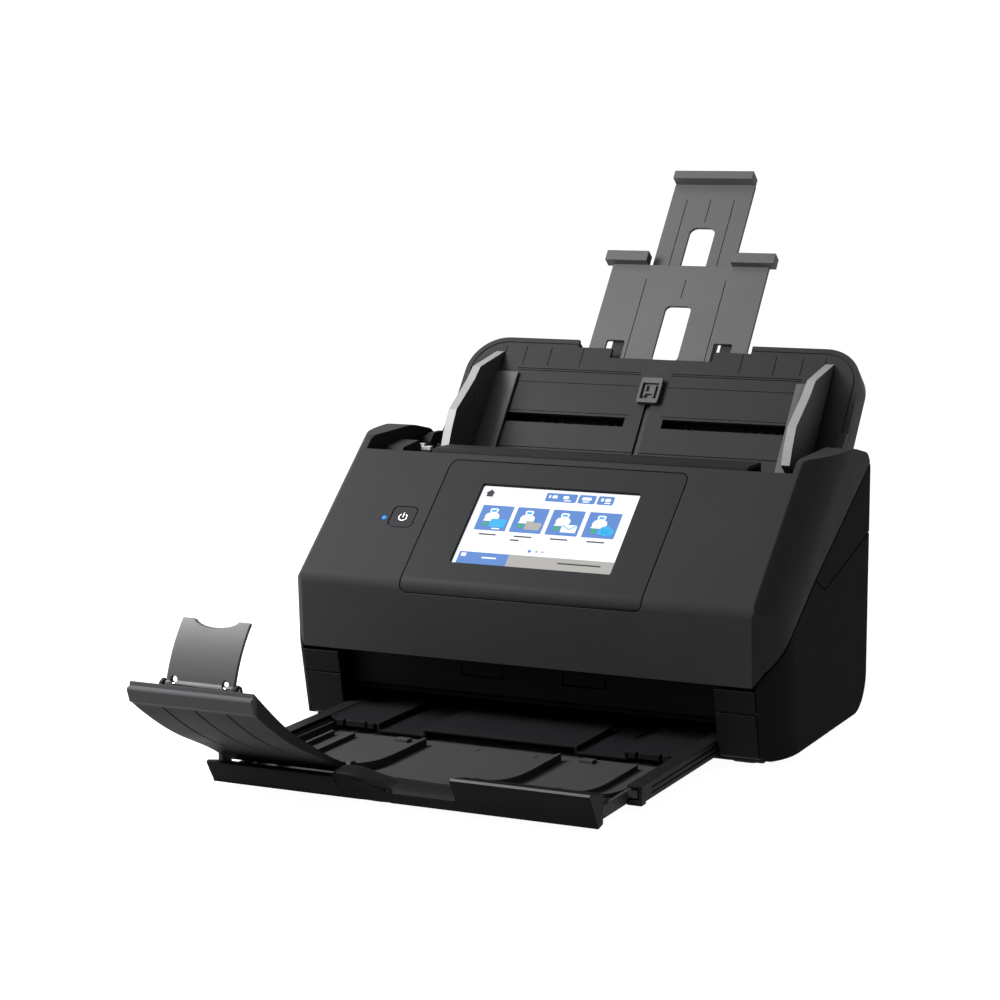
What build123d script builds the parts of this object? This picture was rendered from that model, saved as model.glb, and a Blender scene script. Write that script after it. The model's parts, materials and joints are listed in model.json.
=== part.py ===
"""Sheet fed document scanner: body, opening front cover, folding input tray and sliding output tray.

X is to the viewer's right, the front faces -Y and Z is up. Sizes are in millimetres. The model is drawn about
the middle of the body's footprint, and every drawing plane stands BODY_Y behind the part's origin, which puts
the origin under the middle of the whole bounding box.
"""

from math import cos, pi, radians, sin, tan
import os

from build123d import *

os.makedirs("parts", exist_ok=True)

# driving sizes
BODY_Y = 39
BODY_HALF = 148
FRONT_HALF = 135
WALL = 2.5
GAP = 0.35
OPENING_HALF = 113
SHOULDER_INNER = 131.5
CORNER_INNER = 136.3
CHEEK_DEPTH = 32

# the body's outline, seen from the right: (y, z, corner radius)
BODY_OUTLINE = [
    (-66, 3.6, 7), (-72, 14, 6), (-78.8, 45, 0), (-81.2, 87.9, 10), (0, 158.2, 12),
    (52, 159.5, 60), (84.5, 153, 12), (84.5, 3.6, 22),
]
# the crease at each front corner, from below the body to above it: (y, z)
CREASE = [(-58.8, -46.2), (-72, 14), (-78.8, 45), (-81.2, 87.9), (80, 227.5)]
KINK = (-81.2, 87.9)
SLOPE_DEG = 40.9

# the feed path: the tray's slope, then a bend to a flatter run that leads out at the front
TRAY_DEG = 52
TRAY_FOOT = (86.5, 143.6)
BED_BEND = -72.3
BED_RUN = (16, 64.2)
BED_DEG = 30
BED_LENGTH = 85.5
PATH_GAP = 2.6
SHEET = 1.5

TRAY_PIVOT = (66, 144)
COVER_PIVOT = (-68.5, 30)
STOP_PIVOT = (-208, 15)
FLAP_PIVOT = (-290, 70)

# planes, each with its origin on the body's middle
SIDE = Plane(origin=(0, BODY_Y, 0), x_dir=(0, 1, 0), z_dir=(1, 0, 0))
FLAT = Plane(origin=(0, BODY_Y, 0))
BACK = Plane(origin=(0, BODY_Y, 0), x_dir=(1, 0, 0), z_dir=(0, -1, 0))
TRAY = Plane(
    origin=(0, BODY_Y + TRAY_FOOT[0], TRAY_FOOT[1]),
    x_dir=(1, 0, 0),
    z_dir=(0, -sin(radians(TRAY_DEG)), cos(radians(TRAY_DEG))),
)
SLOPE = Plane(
    origin=(0, BODY_Y + KINK[0], KINK[1]),
    x_dir=(1, 0, 0),
    z_dir=(0, -sin(radians(SLOPE_DEG)), cos(radians(SLOPE_DEG))),
)
BED = Plane(
    origin=(0, BODY_Y + BED_RUN[0], BED_RUN[1]),
    x_dir=(1, 0, 0),
    z_dir=(0, -sin(radians(BED_DEG)), cos(radians(BED_DEG))),
)


def rounded(corners):
    """A closed outline of (x, y, corner radius), as a face of the sketch that it is called in."""
    with BuildLine() as line:
        Polyline(*[(x, y) for x, y, _ in corners], close=True)
    make_face(line.edges())
    for x, y, radius in corners:
        if radius:
            fillet(vertices().sort_by_distance((x, y))[0], radius)


def slab(outline, low, high, mode=Mode.ADD):
    """A side outline, drawn in (y, z), as a solid between two values of x."""
    with BuildSketch(SIDE.offset(low)) as profile:
        with BuildLine():
            Polyline(*outline, close=True)
        make_face()
    extrude(profile.sketch, amount=high - low, dir=(1, 0, 0), mode=mode)


def block(x, y, z, mode=Mode.ADD):
    """A box between pairs of x, y and z."""
    plate(FLAT, x, y, z, mode)


def run(section, rear, front, mode=Mode.ADD):
    """A cross-section, drawn in (x, z), as a solid between two values of y."""
    with BuildSketch(BACK.offset(-rear)) as profile:
        with BuildLine():
            Polyline(*section, close=True)
        make_face()
    extrude(profile.sketch, amount=rear - front, dir=(0, -1, 0), mode=mode)


def rod(centre, radius, low, high, mode=Mode.ADD):
    """A round bar along X between two values of x, at a centre given as (y, z)."""
    with BuildSketch(SIDE.offset(low)) as profile:
        with Locations(centre):
            Circle(radius)
    extrude(profile.sketch, amount=high - low, dir=(1, 0, 0), mode=mode)


def plate(plane, x, y, height, mode=Mode.ADD, corner=0):
    """A flat plate on a plane, between pairs of the plane's own x, y and height."""
    with BuildSketch(plane.offset(height[0])) as profile:
        with Locations(((x[0] + x[1]) / 2, (y[0] + y[1]) / 2)):
            if corner:
                RectangleRounded(x[1] - x[0], y[1] - y[0], corner)
            else:
                Rectangle(x[1] - x[0], y[1] - y[0])
    extrude(profile.sketch, amount=height[1] - height[0], dir=plane.z_dir, mode=mode)


def mirrored(piece):
    """The piece's mirror image across the body's middle plane, as a builder."""
    with BuildPart() as twin:
        add(mirror(piece.part, about=Plane.YZ))
    return twin


def bed_point(along, above):
    """(y, z) of a point on the flat run: its distance from the bend towards the front, and above the bed."""
    turn = radians(BED_DEG)
    y = BED_RUN[0] - along * cos(turn) - above * sin(turn)
    z = BED_RUN[1] - along * sin(turn) + above * cos(turn)
    return (y, z)


def tray_point(along, above):
    """(y, z) of a point on the input tray: its distance up the slope from the tray's foot, and above it."""
    turn = radians(TRAY_DEG)
    y = TRAY_FOOT[0] + along * cos(turn) - above * sin(turn)
    z = TRAY_FOOT[1] + along * sin(turn) + above * cos(turn)
    return (y, z)


def path_strip(top, low, high, reach):
    """A strip along the feed path, from a height on the tray's slope round the bend to the exit."""
    with BuildSketch(SIDE.offset(-reach)) as profile:
        with BuildLine():
            down = (-cos(radians(TRAY_DEG)), -sin(radians(TRAY_DEG)))
            up = (cos(radians(BED_DEG)), sin(radians(BED_DEG)))
            Line(tray_point(top, low), tray_point(BED_BEND, low))
            TangentArc(tray_point(BED_BEND, low), bed_point(0, low), tangent=down)
            Polyline(bed_point(0, low), bed_point(BED_LENGTH, low), bed_point(BED_LENGTH, high), bed_point(0, high))
            TangentArc(bed_point(0, high), tray_point(BED_BEND, high), tangent=up)
            Polyline(tray_point(BED_BEND, high), tray_point(top, high), tray_point(top, low))
        make_face()
    extrude(profile.sketch, amount=2 * reach, dir=(1, 0, 0))


# ---------------------------------------------------------------------------------------------------------
# The body's outer form, from which the covers are cut
# ---------------------------------------------------------------------------------------------------------

def corner_cut(inset):
    """What lies outside the body's right front corner, which curves back from a crease to the full width."""
    front = FRONT_HALF - inset
    side = BODY_HALF - inset
    (y, z), (next_y, next_z) = CREASE[:2]
    foot = Plane(origin=(0, BODY_Y + y, z), x_dir=(1, 0, 0), z_dir=(0, next_y - y, next_z - z))
    with BuildPart() as corner:
        with BuildLine() as path:
            Polyline(*[(0, BODY_Y + y, z) for y, z in CREASE])
        with BuildSketch(foot) as profile:
            with BuildLine():
                Spline((front, inset), (side, CHEEK_DEPTH), tangents=((0.75, 0.65), (0, 1)))
                Polyline((side, CHEEK_DEPTH), (side + 10, CHEEK_DEPTH), (side + 10, -10), (front, -10), (front, inset))
            make_face()
        sweep(sections=profile.sketch, path=path.line, transition=Transition.RIGHT)
    return corner.part


def body_form(inset):
    """The body's outer form as one solid, all its faces moved in by inset."""
    with BuildPart() as form:
        with BuildSketch(SIDE.offset(inset - BODY_HALF)) as profile:
            rounded(BODY_OUTLINE)
            if inset:
                offset(amount=-inset, kind=Kind.INTERSECTION, mode=Mode.REPLACE)
        extrude(profile.sketch, amount=2 * (BODY_HALF - inset), dir=(1, 0, 0))
    corner = corner_cut(inset)
    return form.part - corner - mirror(corner, about=Plane.YZ)


outer_form = body_form(0)
inner_form = body_form(WALL)

# the parting lines on the sides
COVER_SIDE = [
    (-95, 45.6), (-79, 45.6), (-74.3, 53.3), (-50.3, 73), (-14.3, 95.2), (77, 144.1), (95, 153.7),
    (95, 200), (-95, 200),
]
WEDGE_SIDE = [(-13.2, 94.8), (77, 143.5), (95, 153.1), (95, 110.1), (73.5, 104.8), (2.6, 87)]
BASE_SIDE = [
    (-95, -5), (-95, 44.2), (-78.6, 44.2), (-73.6, 52.5), (-49.8, 72.3), (-14, 94.2), (2.2, 86.3),
    (73.5, 104.1), (95, 109.4), (95, -5),
]


# ---------------------------------------------------------------------------------------------------------
# The scanner cover, which opens forward about its lower front edge
# ---------------------------------------------------------------------------------------------------------

PANEL_OUTLINE = [(-73, 148.2, 4), (73, 148.2, 4), (72.2, 82.3, 4), (-72.2, 82.3, 4)]
BUTTON = (-88.2, 47.2)
BUTTON_SIZE = 15
LIGHT = (-99.9, 45.8)
SCREEN_X = (-47.4, 49.2)
SCREEN_Y = (17.2, 76)


def panel_area(inset, mode):
    """The control panel's outline, seen from the front, cut through the cover's front wall."""
    with BuildSketch(BACK.offset(5)) as profile:
        rounded(PANEL_OUTLINE)
        if inset:
            offset(amount=-inset, kind=Kind.INTERSECTION, mode=Mode.REPLACE)
    extrude(profile.sketch, amount=100, dir=(0, -1, 0), mode=mode)


with BuildPart() as cover:
    add(outer_form)
    add(inner_form, mode=Mode.SUBTRACT)
    slab(COVER_SIDE, -BODY_HALF, BODY_HALF, Mode.INTERSECT)
    # the throat between the shoulders, behind the slope's top edge
    slab([(-10.9, 155.4), (12, 129), (100, 129), (100, 200), (-10.9, 200)],
         -SHOULDER_INNER, SHOULDER_INNER, Mode.SUBTRACT)
    panel_area(-GAP, Mode.SUBTRACT)
    with BuildSketch(SLOPE.offset(-8)):
        with Locations(BUTTON):
            RectangleRounded(BUTTON_SIZE + 0.7, BUTTON_SIZE + 0.7, 3.6)
        with Locations(LIGHT):
            Circle(1.6)
    extrude(amount=16, mode=Mode.SUBTRACT)

with BuildPart() as shoulder_wall:
    add(inner_form)
    slab(COVER_SIDE, SHOULDER_INNER, SHOULDER_INNER + 2, Mode.INTERSECT)
    slab([(-95, 20), (-95, 120), (-56, 100), (-30, 92), (-30, 20)],
         SHOULDER_INNER - 1, SHOULDER_INNER + 3, Mode.SUBTRACT)

# the cover's arm reaches its hinge from behind, so that it stays behind the hinge cover's front as it opens
with BuildPart() as hinge_arm:
    slab([(-69, 33.4), (-52, 42), (-58, 62), (-58, 78), (-48, 80), (-48, 60), (-45.6, 38), (-67.6, 26.6)],
         SHOULDER_INNER, SHOULDER_INNER + 2)
    rod(COVER_PIVOT, 3.5, SHOULDER_INNER, SHOULDER_INNER + 2)
    rod(COVER_PIVOT, 1.86, SHOULDER_INNER - 1, SHOULDER_INNER + 3, Mode.SUBTRACT)

with BuildPart() as scanner_cover:
    add(cover.part)
    add(shoulder_wall.part)
    add(hinge_arm.part)
    add(mirror(hinge_arm.part, about=Plane.YZ))
    add(mirror(shoulder_wall.part, about=Plane.YZ))

with BuildPart() as control_panel:
    add(outer_form)
    add(inner_form, mode=Mode.SUBTRACT)
    panel_area(0, Mode.INTERSECT)
    plate(SLOPE, SCREEN_X, SCREEN_Y, (-8, 8), Mode.SUBTRACT, corner=1)

with BuildPart() as touch_screen:
    plate(SLOPE, (SCREEN_X[0] - 3, SCREEN_X[1] + 3), (SCREEN_Y[0] - 2, SCREEN_Y[1] + 3), (-3.8, -2.7), corner=1.5)

with BuildPart() as display_module:
    plate(SLOPE, (-52.5, 54), (SCREEN_Y[0] - 2, SCREEN_Y[1] + 5), (-7.6, -4))

with BuildPart() as panel_board:
    plate(SLOPE, (-106, 60), (22, 68), (-12, -10.4))
    with BuildSketch(SLOPE.offset(-10.4)):
        with Locations(BUTTON):
            RectangleRounded(6, 6, 1)
    extrude(amount=3.4)
    plate(SLOPE, (-30, -8), (38, 54), (-14.5, -12))

with BuildPart() as power_button:
    with BuildSketch(SLOPE.offset(-2.4)):
        with Locations(BUTTON):
            RectangleRounded(BUTTON_SIZE, BUTTON_SIZE, 3.3)
    extrude(amount=2.2)
    with BuildSketch(SLOPE.offset(-5.8)):
        with Locations(BUTTON):
            Circle(2.5)
    extrude(amount=3.6)

with BuildPart() as status_light:
    with BuildSketch(SLOPE.offset(-10.2)):
        with Locations(LIGHT):
            Circle(1.4)
    extrude(amount=10)

LOWER_FEED = bed_point(11, -6.9)
LOWER_EXIT = bed_point(62, -4.4)
UPPER_FEED = bed_point(11, 6.6)
UPPER_EXIT = bed_point(62, 6)
PICKUP = tray_point(-75.6, -13.6)
SEPARATOR = tray_point(-75.6, 12.2)
ROLLER_PLACES = (-75, -30, 30, 75)

# the paper guide above the feed path, with the ledge behind the cover's slope and the wall over the exit
with BuildPart() as upper_paper_guide:
    slab([(-5.4, 148.6), (-4.6, 152.4), (-2, 153.2), (18, 153.2), (24, 112), bed_point(-8, 3.2),
          bed_point(0, PATH_GAP), bed_point(BED_LENGTH, PATH_GAP), (-62.2, 50), (-60.2, 50),
          bed_point(BED_LENGTH - 2, PATH_GAP + SHEET), bed_point(1, PATH_GAP + SHEET),
          bed_point(-5.5, 5), (22, 112), (16.2, 151), (-3, 151)], -112, 112)
    # the ledge stops short of the body's left side, and leaves a pocket at each folded guide
    block((-113, -90), (-20, 40), (100, 160), Mode.SUBTRACT)
    for middle in (-109, 109):
        block((middle - 4.5, middle + 6), (-20, 40), (110, 160), Mode.SUBTRACT)
    block((-35.5, 35.5), (-1, 60), (78, 106), Mode.SUBTRACT)
    for middle in ROLLER_PLACES:
        plate(BED, (middle - 9, middle + 9), (-18, -4), (0, 12), Mode.SUBTRACT)
        plate(BED, (middle - 9, middle + 9), (-69, -55), (0, 12), Mode.SUBTRACT)
    plate(BED, (-109, 109), (-35, -25), (0, 12), Mode.SUBTRACT)
    # two flaps in the wall over the exit, each cut free on three sides
    for low in (-44, 18):
        for edge in (low, low + 25.2):
            block((edge, edge + 0.8), (-66, -56), (33, 40), Mode.SUBTRACT)
        block((low, low + 26), (-66, -56), (33, 33.8), Mode.SUBTRACT)

with BuildPart() as front_scan_glass:
    plate(BED, (-108.5, 108.5), (-34.6, -25.4), (PATH_GAP + 0.1, PATH_GAP + 1.4))

with BuildPart() as front_image_sensor:
    plate(BED, (-110, 110), (-37, -23), (PATH_GAP + SHEET + 0.2, PATH_GAP + SHEET + 12))

with BuildPart() as separation_roller:
    rod(SEPARATOR, 2.5, -35, 35)
    for low in (-22, 3):
        rod(SEPARATOR, 10.5, low, low + 19)

with BuildPart() as roller_holder:
    for low in (-34, 31.5):
        slab([(0, 104), (0, 82), (30, 82), (35, 88), (35, 96), (14, 104)], low, low + 2.5)
    block((-34, 34), (0, 2.5), (82, 104))
    rod(SEPARATOR, 2.56, -36, 36, Mode.SUBTRACT)

with BuildPart() as upper_feed_rollers:
    rod(UPPER_FEED, 1.5, -94, 94)
    for middle in ROLLER_PLACES:
        rod(UPPER_FEED, 5.2, middle - 7, middle + 7)

with BuildPart() as upper_exit_rollers:
    rod(UPPER_EXIT, 1.5, -94, 94)
    for middle in ROLLER_PLACES:
        rod(UPPER_EXIT, 4.6, middle - 7, middle + 7)

with BuildPart() as roller_clips:
    for along in (11, 62):
        for low in (-94, -54, 50, 90):
            plate(BED, (low, low + 4), (-along - 4, -along + 4), (PATH_GAP + SHEET + 0.1, 12))
    rod(UPPER_FEED, 1.55, -100, 100, Mode.SUBTRACT)
    rod(UPPER_EXIT, 1.55, -100, 100, Mode.SUBTRACT)

with BuildPart() as cover_lever:
    slab([(12, 139), (30, 141), (38, 147), (34, 152.5), (14, 150.5), (9, 145)], -129.8, -118)
    fillet(edges().filter_by(Axis.X), 1.5)
    rod((15, 144.5), 2.05, -131, -117, Mode.SUBTRACT)

with BuildPart() as lever_bracket:
    slab([(4, 130), (10, 130), (19, 141), (19, 147), (11, 147)], -117.4, -115.4)
    rod((15, 144.5), 2, -SHOULDER_INNER, -117.4)
    block((-SHOULDER_INNER, -115.2), (38, 49.5), (142, 144.8))

with BuildPart() as separation_switch:
    block((-130, -115.6), (44, 48), (145, 147.4))
    block((-124, -120), (44.8, 47.2), (147.4, 149))

# ---------------------------------------------------------------------------------------------------------
# The base
# ---------------------------------------------------------------------------------------------------------

FLOOR = (2, 3.6)
RAIL_OUTER = 112.5
SCREW_SPACING = (256, 76)
REAR_SEAM = 65.5
TRAY_SWING = 23.6
FRAME_WALL = (121, 124)
MOTOR = (50, 50)


with BuildPart() as bottom_cover:
    block((0.3 - CORNER_INNER, CORNER_INNER - 0.3), (-62, REAR_SEAM), FLOOR)
    for low in (RAIL_OUTER, -RAIL_OUTER - 2):
        block((low, low + 2), (-38, REAR_SEAM), (FLOOR[1], 15.5))
    with BuildSketch(FLAT):
        with GridLocations(*SCREW_SPACING, 2, 2):
            Circle(1.55)
    extrude(amount=5, mode=Mode.SUBTRACT)

with BuildPart() as rubber_feet:
    with BuildSketch(FLAT):
        for y in (-52, 66):
            with Locations((0, y)):
                with GridLocations(246, 1, 2, 1):
                    RectangleRounded(14, 9, 3)
    extrude(amount=FLOOR[0])

with BuildPart() as base_screws:
    with BuildSketch(FLAT.offset(FLOOR[0] - 1.2)):
        with GridLocations(*SCREW_SPACING, 2, 2):
            Circle(2.8)
    extrude(amount=1.2)
    with BuildSketch(FLAT.offset(FLOOR[0])):
        with GridLocations(*SCREW_SPACING, 2, 2):
            Circle(1.5)
    extrude(amount=8)

with BuildPart() as side_cover_right:
    add(outer_form)
    add(inner_form, mode=Mode.SUBTRACT)
    slab(BASE_SIDE, CORNER_INNER, BODY_HALF, Mode.INTERSECT)
side_cover_left = mirrored(side_cover_right)

with BuildPart() as wedge_cover_right:
    add(outer_form)
    add(inner_form, mode=Mode.SUBTRACT)
    slab(WEDGE_SIDE, CORNER_INNER, BODY_HALF, Mode.INTERSECT)
wedge_cover_left = mirrored(wedge_cover_right)

with BuildPart() as rear_cover:
    add(outer_form)
    add(inner_form, mode=Mode.SUBTRACT)
    block((0.3 - CORNER_INNER, CORNER_INNER - 0.3), (REAR_SEAM + 0.3, 90), (0, 146.2), Mode.INTERSECT)
    block((-130, 130), (70, 90), (133, 150), Mode.SUBTRACT)
    rod(TRAY_PIVOT, TRAY_SWING, -130, 130, Mode.SUBTRACT)
    for low, width, height in ((-112, 13, 12), (-86, 13, 12), (-62, 14, 7), (112, 7, 3)):
        block((low, low + width), (70, 90), (40 - height / 2, 40 + height / 2), Mode.SUBTRACT)
    for step in range(7):
        block((28 + step * 8, 32 + step * 8), (70, 90), (66, 90), Mode.SUBTRACT)

with BuildPart() as hinge_cover_right:
    slab([(-78.4, 44), (-75.4, 31.3), (-58, 31.3), (-58, 44)], OPENING_HALF + 0.3, CORNER_INNER - 0.4)
    slab([(-76, 45), (-73, 30), (-57, 30), (-57, 41.8), (-70, 41.8)],
         OPENING_HALF + 2.5, CORNER_INNER, Mode.SUBTRACT)
    # the slot for the cover's hinge arm
    block((SHOULDER_INNER - 0.4, SHOULDER_INNER + 2.4), (-75.3, -57), (40, 45), Mode.SUBTRACT)
hinge_cover_left = mirrored(hinge_cover_right)

with BuildPart() as corner_cover_right:
    slab([(-75.3, 30.7), (-72, 14), (-68, 6), (-63, 3.9), (-58, 12), (-58, 30.7)],
         OPENING_HALF + 0.3, CORNER_INNER - 0.4)
    slab([(-72.8, 32), (-69.6, 14.4), (-66, 8), (-62, 6.2), (-57, 12), (-57, 32)],
         OPENING_HALF + 2.5, CORNER_INNER, Mode.SUBTRACT)
corner_cover_left = mirrored(corner_cover_right)

# two side walls carry the shafts, the feed bed and the input tray's hinge
with BuildPart() as frame_walls:
    slab([(-56, 3.6), (-56, 20), (-30, 44), (16, 72), (36, 100), (55, 128), (55, 149), (60, 154), (72, 154),
          (77, 148), (77, 118), (79.5, 112), (79.5, 28), (64, 3.6)], *FRAME_WALL)
    mirror(about=Plane.YZ)
    rod(LOWER_FEED, 3.05, -130, 130, Mode.SUBTRACT)
    rod(LOWER_EXIT, 2.25, -130, 130, Mode.SUBTRACT)
    rod(PICKUP, 3.05, -130, 130, Mode.SUBTRACT)
    rod(TRAY_PIVOT, 3, -130, 130, Mode.SUBTRACT)
    rod(MOTOR, 5, -130, 0, Mode.SUBTRACT)

with BuildPart() as tray_hinge_pins:
    for low in (FRAME_WALL[0], -129.4):
        rod(TRAY_PIVOT, 3, low, low + 8.4)

with BuildPart() as cover_hinge_pins:
    for low in (OPENING_HALF + 2.5, 0.3 - CORNER_INNER):
        rod(COVER_PIVOT, 1.8, low, low + 20.5)

with BuildPart() as feed_bed:
    path_strip(-27, 0, -SHEET, 115.5)
    for middle in (-15, 15):
        block((middle - 11, middle + 11), (20, 62), (60, 112), Mode.SUBTRACT)
    for middle in ROLLER_PLACES:
        plate(BED, (middle - 9, middle + 9), (-20, -2), (-5, 5), Mode.SUBTRACT)
        plate(BED, (middle - 9, middle + 9), (-69, -55), (-5, 5), Mode.SUBTRACT)
    plate(BED, (-109, 109), (-49, -39), (-5, 5), Mode.SUBTRACT)

with BuildPart() as rear_scan_glass:
    plate(BED, (-108.5, 108.5), (-48.6, -39.4), (-1.4, -0.1))

with BuildPart() as rear_image_sensor:
    plate(BED, (-110, 110), (-51, -37), (-12, -SHEET - 0.2))

PULLEY_X = -134
PULLEY_WIDTH = 6
PULLEYS = {"exit": (LOWER_EXIT, 8), "feed": (LOWER_FEED, 9), "pickup": (PICKUP, 12), "motor": (MOTOR, 6)}


def pulley(name):
    """The toothless belt pulley on the end of a shaft."""
    centre, radius = PULLEYS[name]
    rod(centre, radius, PULLEY_X, PULLEY_X + PULLEY_WIDTH)


with BuildPart() as feed_roller:
    rod(LOWER_FEED, 3, PULLEY_X, 126)
    for middle in ROLLER_PLACES:
        rod(LOWER_FEED, 8, middle - 8, middle + 8)
    pulley("feed")

with BuildPart() as exit_roller:
    rod(LOWER_EXIT, 2.2, PULLEY_X, 126)
    for middle in ROLLER_PLACES:
        rod(LOWER_EXIT, 5.5, middle - 8, middle + 8)
    pulley("exit")

with BuildPart() as pickup_roller:
    rod(PICKUP, 3, PULLEY_X, 126)
    for middle in (-15, 15):
        rod(PICKUP, 15, middle - 10, middle + 10)
    pulley("pickup")

with BuildPart() as motor_pulley:
    pulley("motor")
    rod(MOTOR, 1.5, PULLEY_X, -110)

with BuildPart() as feed_motor:
    rod(MOTOR, 17, -119, -86)
    rod(MOTOR, 4.5, -123, -119)
    rod(MOTOR, 1.55, -124, -108, Mode.SUBTRACT)

with BuildPart() as drive_belt:
    for clearance, mode in ((1.8, Mode.ADD), (0.3, Mode.SUBTRACT)):
        with BuildSketch(SIDE.offset(PULLEY_X + 0.3)):
            for centre, radius in PULLEYS.values():
                with Locations(centre):
                    Circle(radius + clearance)
            make_hull()
        extrude(amount=PULLEY_WIDTH - 0.6, mode=mode)

with BuildPart() as main_board:
    block((-114, 100), (74, 75.6), (28, 96))
    block((-62, -42), (70, 74), (50, 70))
    block((40, 54), (69, 74), (44, 78))

with BuildPart() as power_jack:
    block((-111.5, -99.5), (75.6, 84), (34.5, 45.5))
    with BuildSketch(BACK.offset(-84)):
        with Locations((-105.5, 40)):
            Circle(4)
    extrude(amount=6, mode=Mode.SUBTRACT)

with BuildPart() as usb_sockets:
    block((-85.5, -73.5), (75.6, 84), (34.5, 45.5))
    block((-83, -76), (77, 90), (37, 43), Mode.SUBTRACT)
    block((-62, -48), (75.6, 84), (36.7, 43.3))
    block((-60.8, -49.2), (77, 90), (37.6, 42.4), Mode.SUBTRACT)

# ---------------------------------------------------------------------------------------------------------
# The input tray
# ---------------------------------------------------------------------------------------------------------

TRAY_HALF = 129
TRAY_TOP = 81
TRAY_CORNER = 25
TRAY_DEPTH = 16
GUIDE_FACE = 105.5
RACK_LAYER = (-4.7, -2.8)
PINION = (0, 23)
MODULE = 1
TEETH = 16


def tray_outline(inset, foot):
    """The input tray's outline on its own plane, with its round top corners."""
    half = TRAY_HALF - inset
    top = TRAY_TOP - inset
    radius = TRAY_CORNER - inset
    rounded([(-half, foot, 0), (half, foot, 0), (half, top, radius), (-half, top, radius)])


with BuildPart() as input_tray:
    with BuildSketch(TRAY.offset(-2.5)):
        tray_outline(0, -3)
        with Locations((0, -13.5)):
            Rectangle(230, 22)
        with Locations((0, TRAY_TOP)):
            Rectangle(114, 11, mode=Mode.SUBTRACT)
            Rectangle(67.4, 24.6, mode=Mode.SUBTRACT)
        with Locations((-60.2, 22.7), (60.2, 22.7)):
            Rectangle(95.8, 6.6, mode=Mode.SUBTRACT)
    extrude(amount=2.5)
    plate(TRAY, (-1.9, 1.9), (0, 55), (-2, 0), Mode.SUBTRACT)
    # the line inside the rim, the lines across the face and the size marks
    with BuildSketch(TRAY.offset(-0.7)):
        tray_outline(3.2, 1)
        offset(amount=-0.8, mode=Mode.SUBTRACT)
    extrude(amount=0.7, mode=Mode.SUBTRACT)
    for along, width in ((27.6, 0.4), (48.6, 0.4), (56.8, 0.7), (58.2, 0.7)):
        for low in (10, -93):
            plate(TRAY, (low, low + 83), (along, along + width), (-0.6, 0), Mode.SUBTRACT)
    for x in (52.5, 74, 91, 105):
        for mark in (x, -x):
            plate(TRAY, (mark - 0.25, mark + 0.25), (61, 74.5), (-0.5, 0), Mode.SUBTRACT)
    with BuildSketch(TRAY.offset(-5)):
        with Locations(PINION):
            Circle(2)
    extrude(amount=3)
    # the hinge arms
    for low in (124.4, -TRAY_HALF):
        slab([tray_point(*place) for place in
              ((-20.5, 15), (-17, 22.5), (-10, 24.4), (-4.5, 20), (4, 5), (22, 2), (22, -2.4), (-3, -2.4))],
             low, low + TRAY_HALF - 124.4)
    rod(TRAY_PIVOT, 3.06, -130, 130, Mode.SUBTRACT)

with BuildPart() as input_tray_back:
    with BuildSketch(TRAY.offset(-TRAY_DEPTH)):
        tray_outline(0, -3)
    extrude(amount=TRAY_DEPTH - 2.7)
    with BuildSketch(TRAY.offset(2 - TRAY_DEPTH)):
        tray_outline(2, -1)
    extrude(amount=TRAY_DEPTH - 2, mode=Mode.SUBTRACT)
    plate(TRAY, (-57.5, 57.5), (70, 90), (-12.3, 0), Mode.SUBTRACT)
    plate(TRAY, (-45, 45), (74, 90), (-17, 0), Mode.SUBTRACT)
    # the latches that the extension's holes pass over
    for low in (-38.5, 33):
        plate(TRAY, (low, low + 8), (62, 88), (-9.6, -7.7))
        plate(TRAY, (low, low + 8), (62, 64), (-14.2, -9))

with BuildPart() as guide_pinion:
    with BuildSketch(TRAY.offset(RACK_LAYER[0])):
        with Locations(PINION):
            Circle(6.9)
            with PolarLocations(0, TEETH, start_angle=90):
                Polygon((6.5, -0.95), (8, -0.7), (8.8, -0.34), (8.8, 0.34), (8, 0.7), (6.5, 0.95), align=None)
            Circle(2.05, mode=Mode.SUBTRACT)
    extrude(amount=RACK_LAYER[1] - RACK_LAYER[0])


def rack(middle, side):
    """A toothed bar behind the tray's face: its pitch line is beside the pinion, above it or below it."""
    pitch = pi * MODULE
    line = PINION[1] + side * MODULE * TEETH / 2
    with BuildSketch(TRAY.offset(RACK_LAYER[0])) as profile:
        with Locations((middle, line + side * 3.3)):
            Rectangle(115, 4.4)
        with Locations(*[((step + 0.5) * pitch, line) for step in range(-3, 30)]):
            Polygon((-1.05, 1.3), (-0.62, 0), (-0.34, -0.8), (0.34, -0.8), (0.62, 0), (1.05, 1.3),
                    align=None, rotation=0 if side > 0 else 180)
    extrude(profile.sketch, amount=RACK_LAYER[1] - RACK_LAYER[0], dir=TRAY.z_dir)


with BuildPart() as right_edge_guide:
    plate(TRAY, (91, GUIDE_FACE + 0.5), (-20, 54.5), (0.3, 2.2))
    slab([tray_point(*place) for place in
          ((-20, 0.3), (-20, 32), (-10, 34.6), (3.7, 36.5), (31.5, 26.5), (43, 24), (70, 0.3))],
         GUIDE_FACE, GUIDE_FACE + 5.5)
    rack(45.5, -1)
    plate(TRAY, (94, 103), (9.5, 25.4), RACK_LAYER)
    plate(TRAY, (94, 103), (20, 25.4), (RACK_LAYER[1], 0.3))

with BuildPart() as left_half:
    rack(45.5, 1)
left_half = mirrored(left_half)

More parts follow.
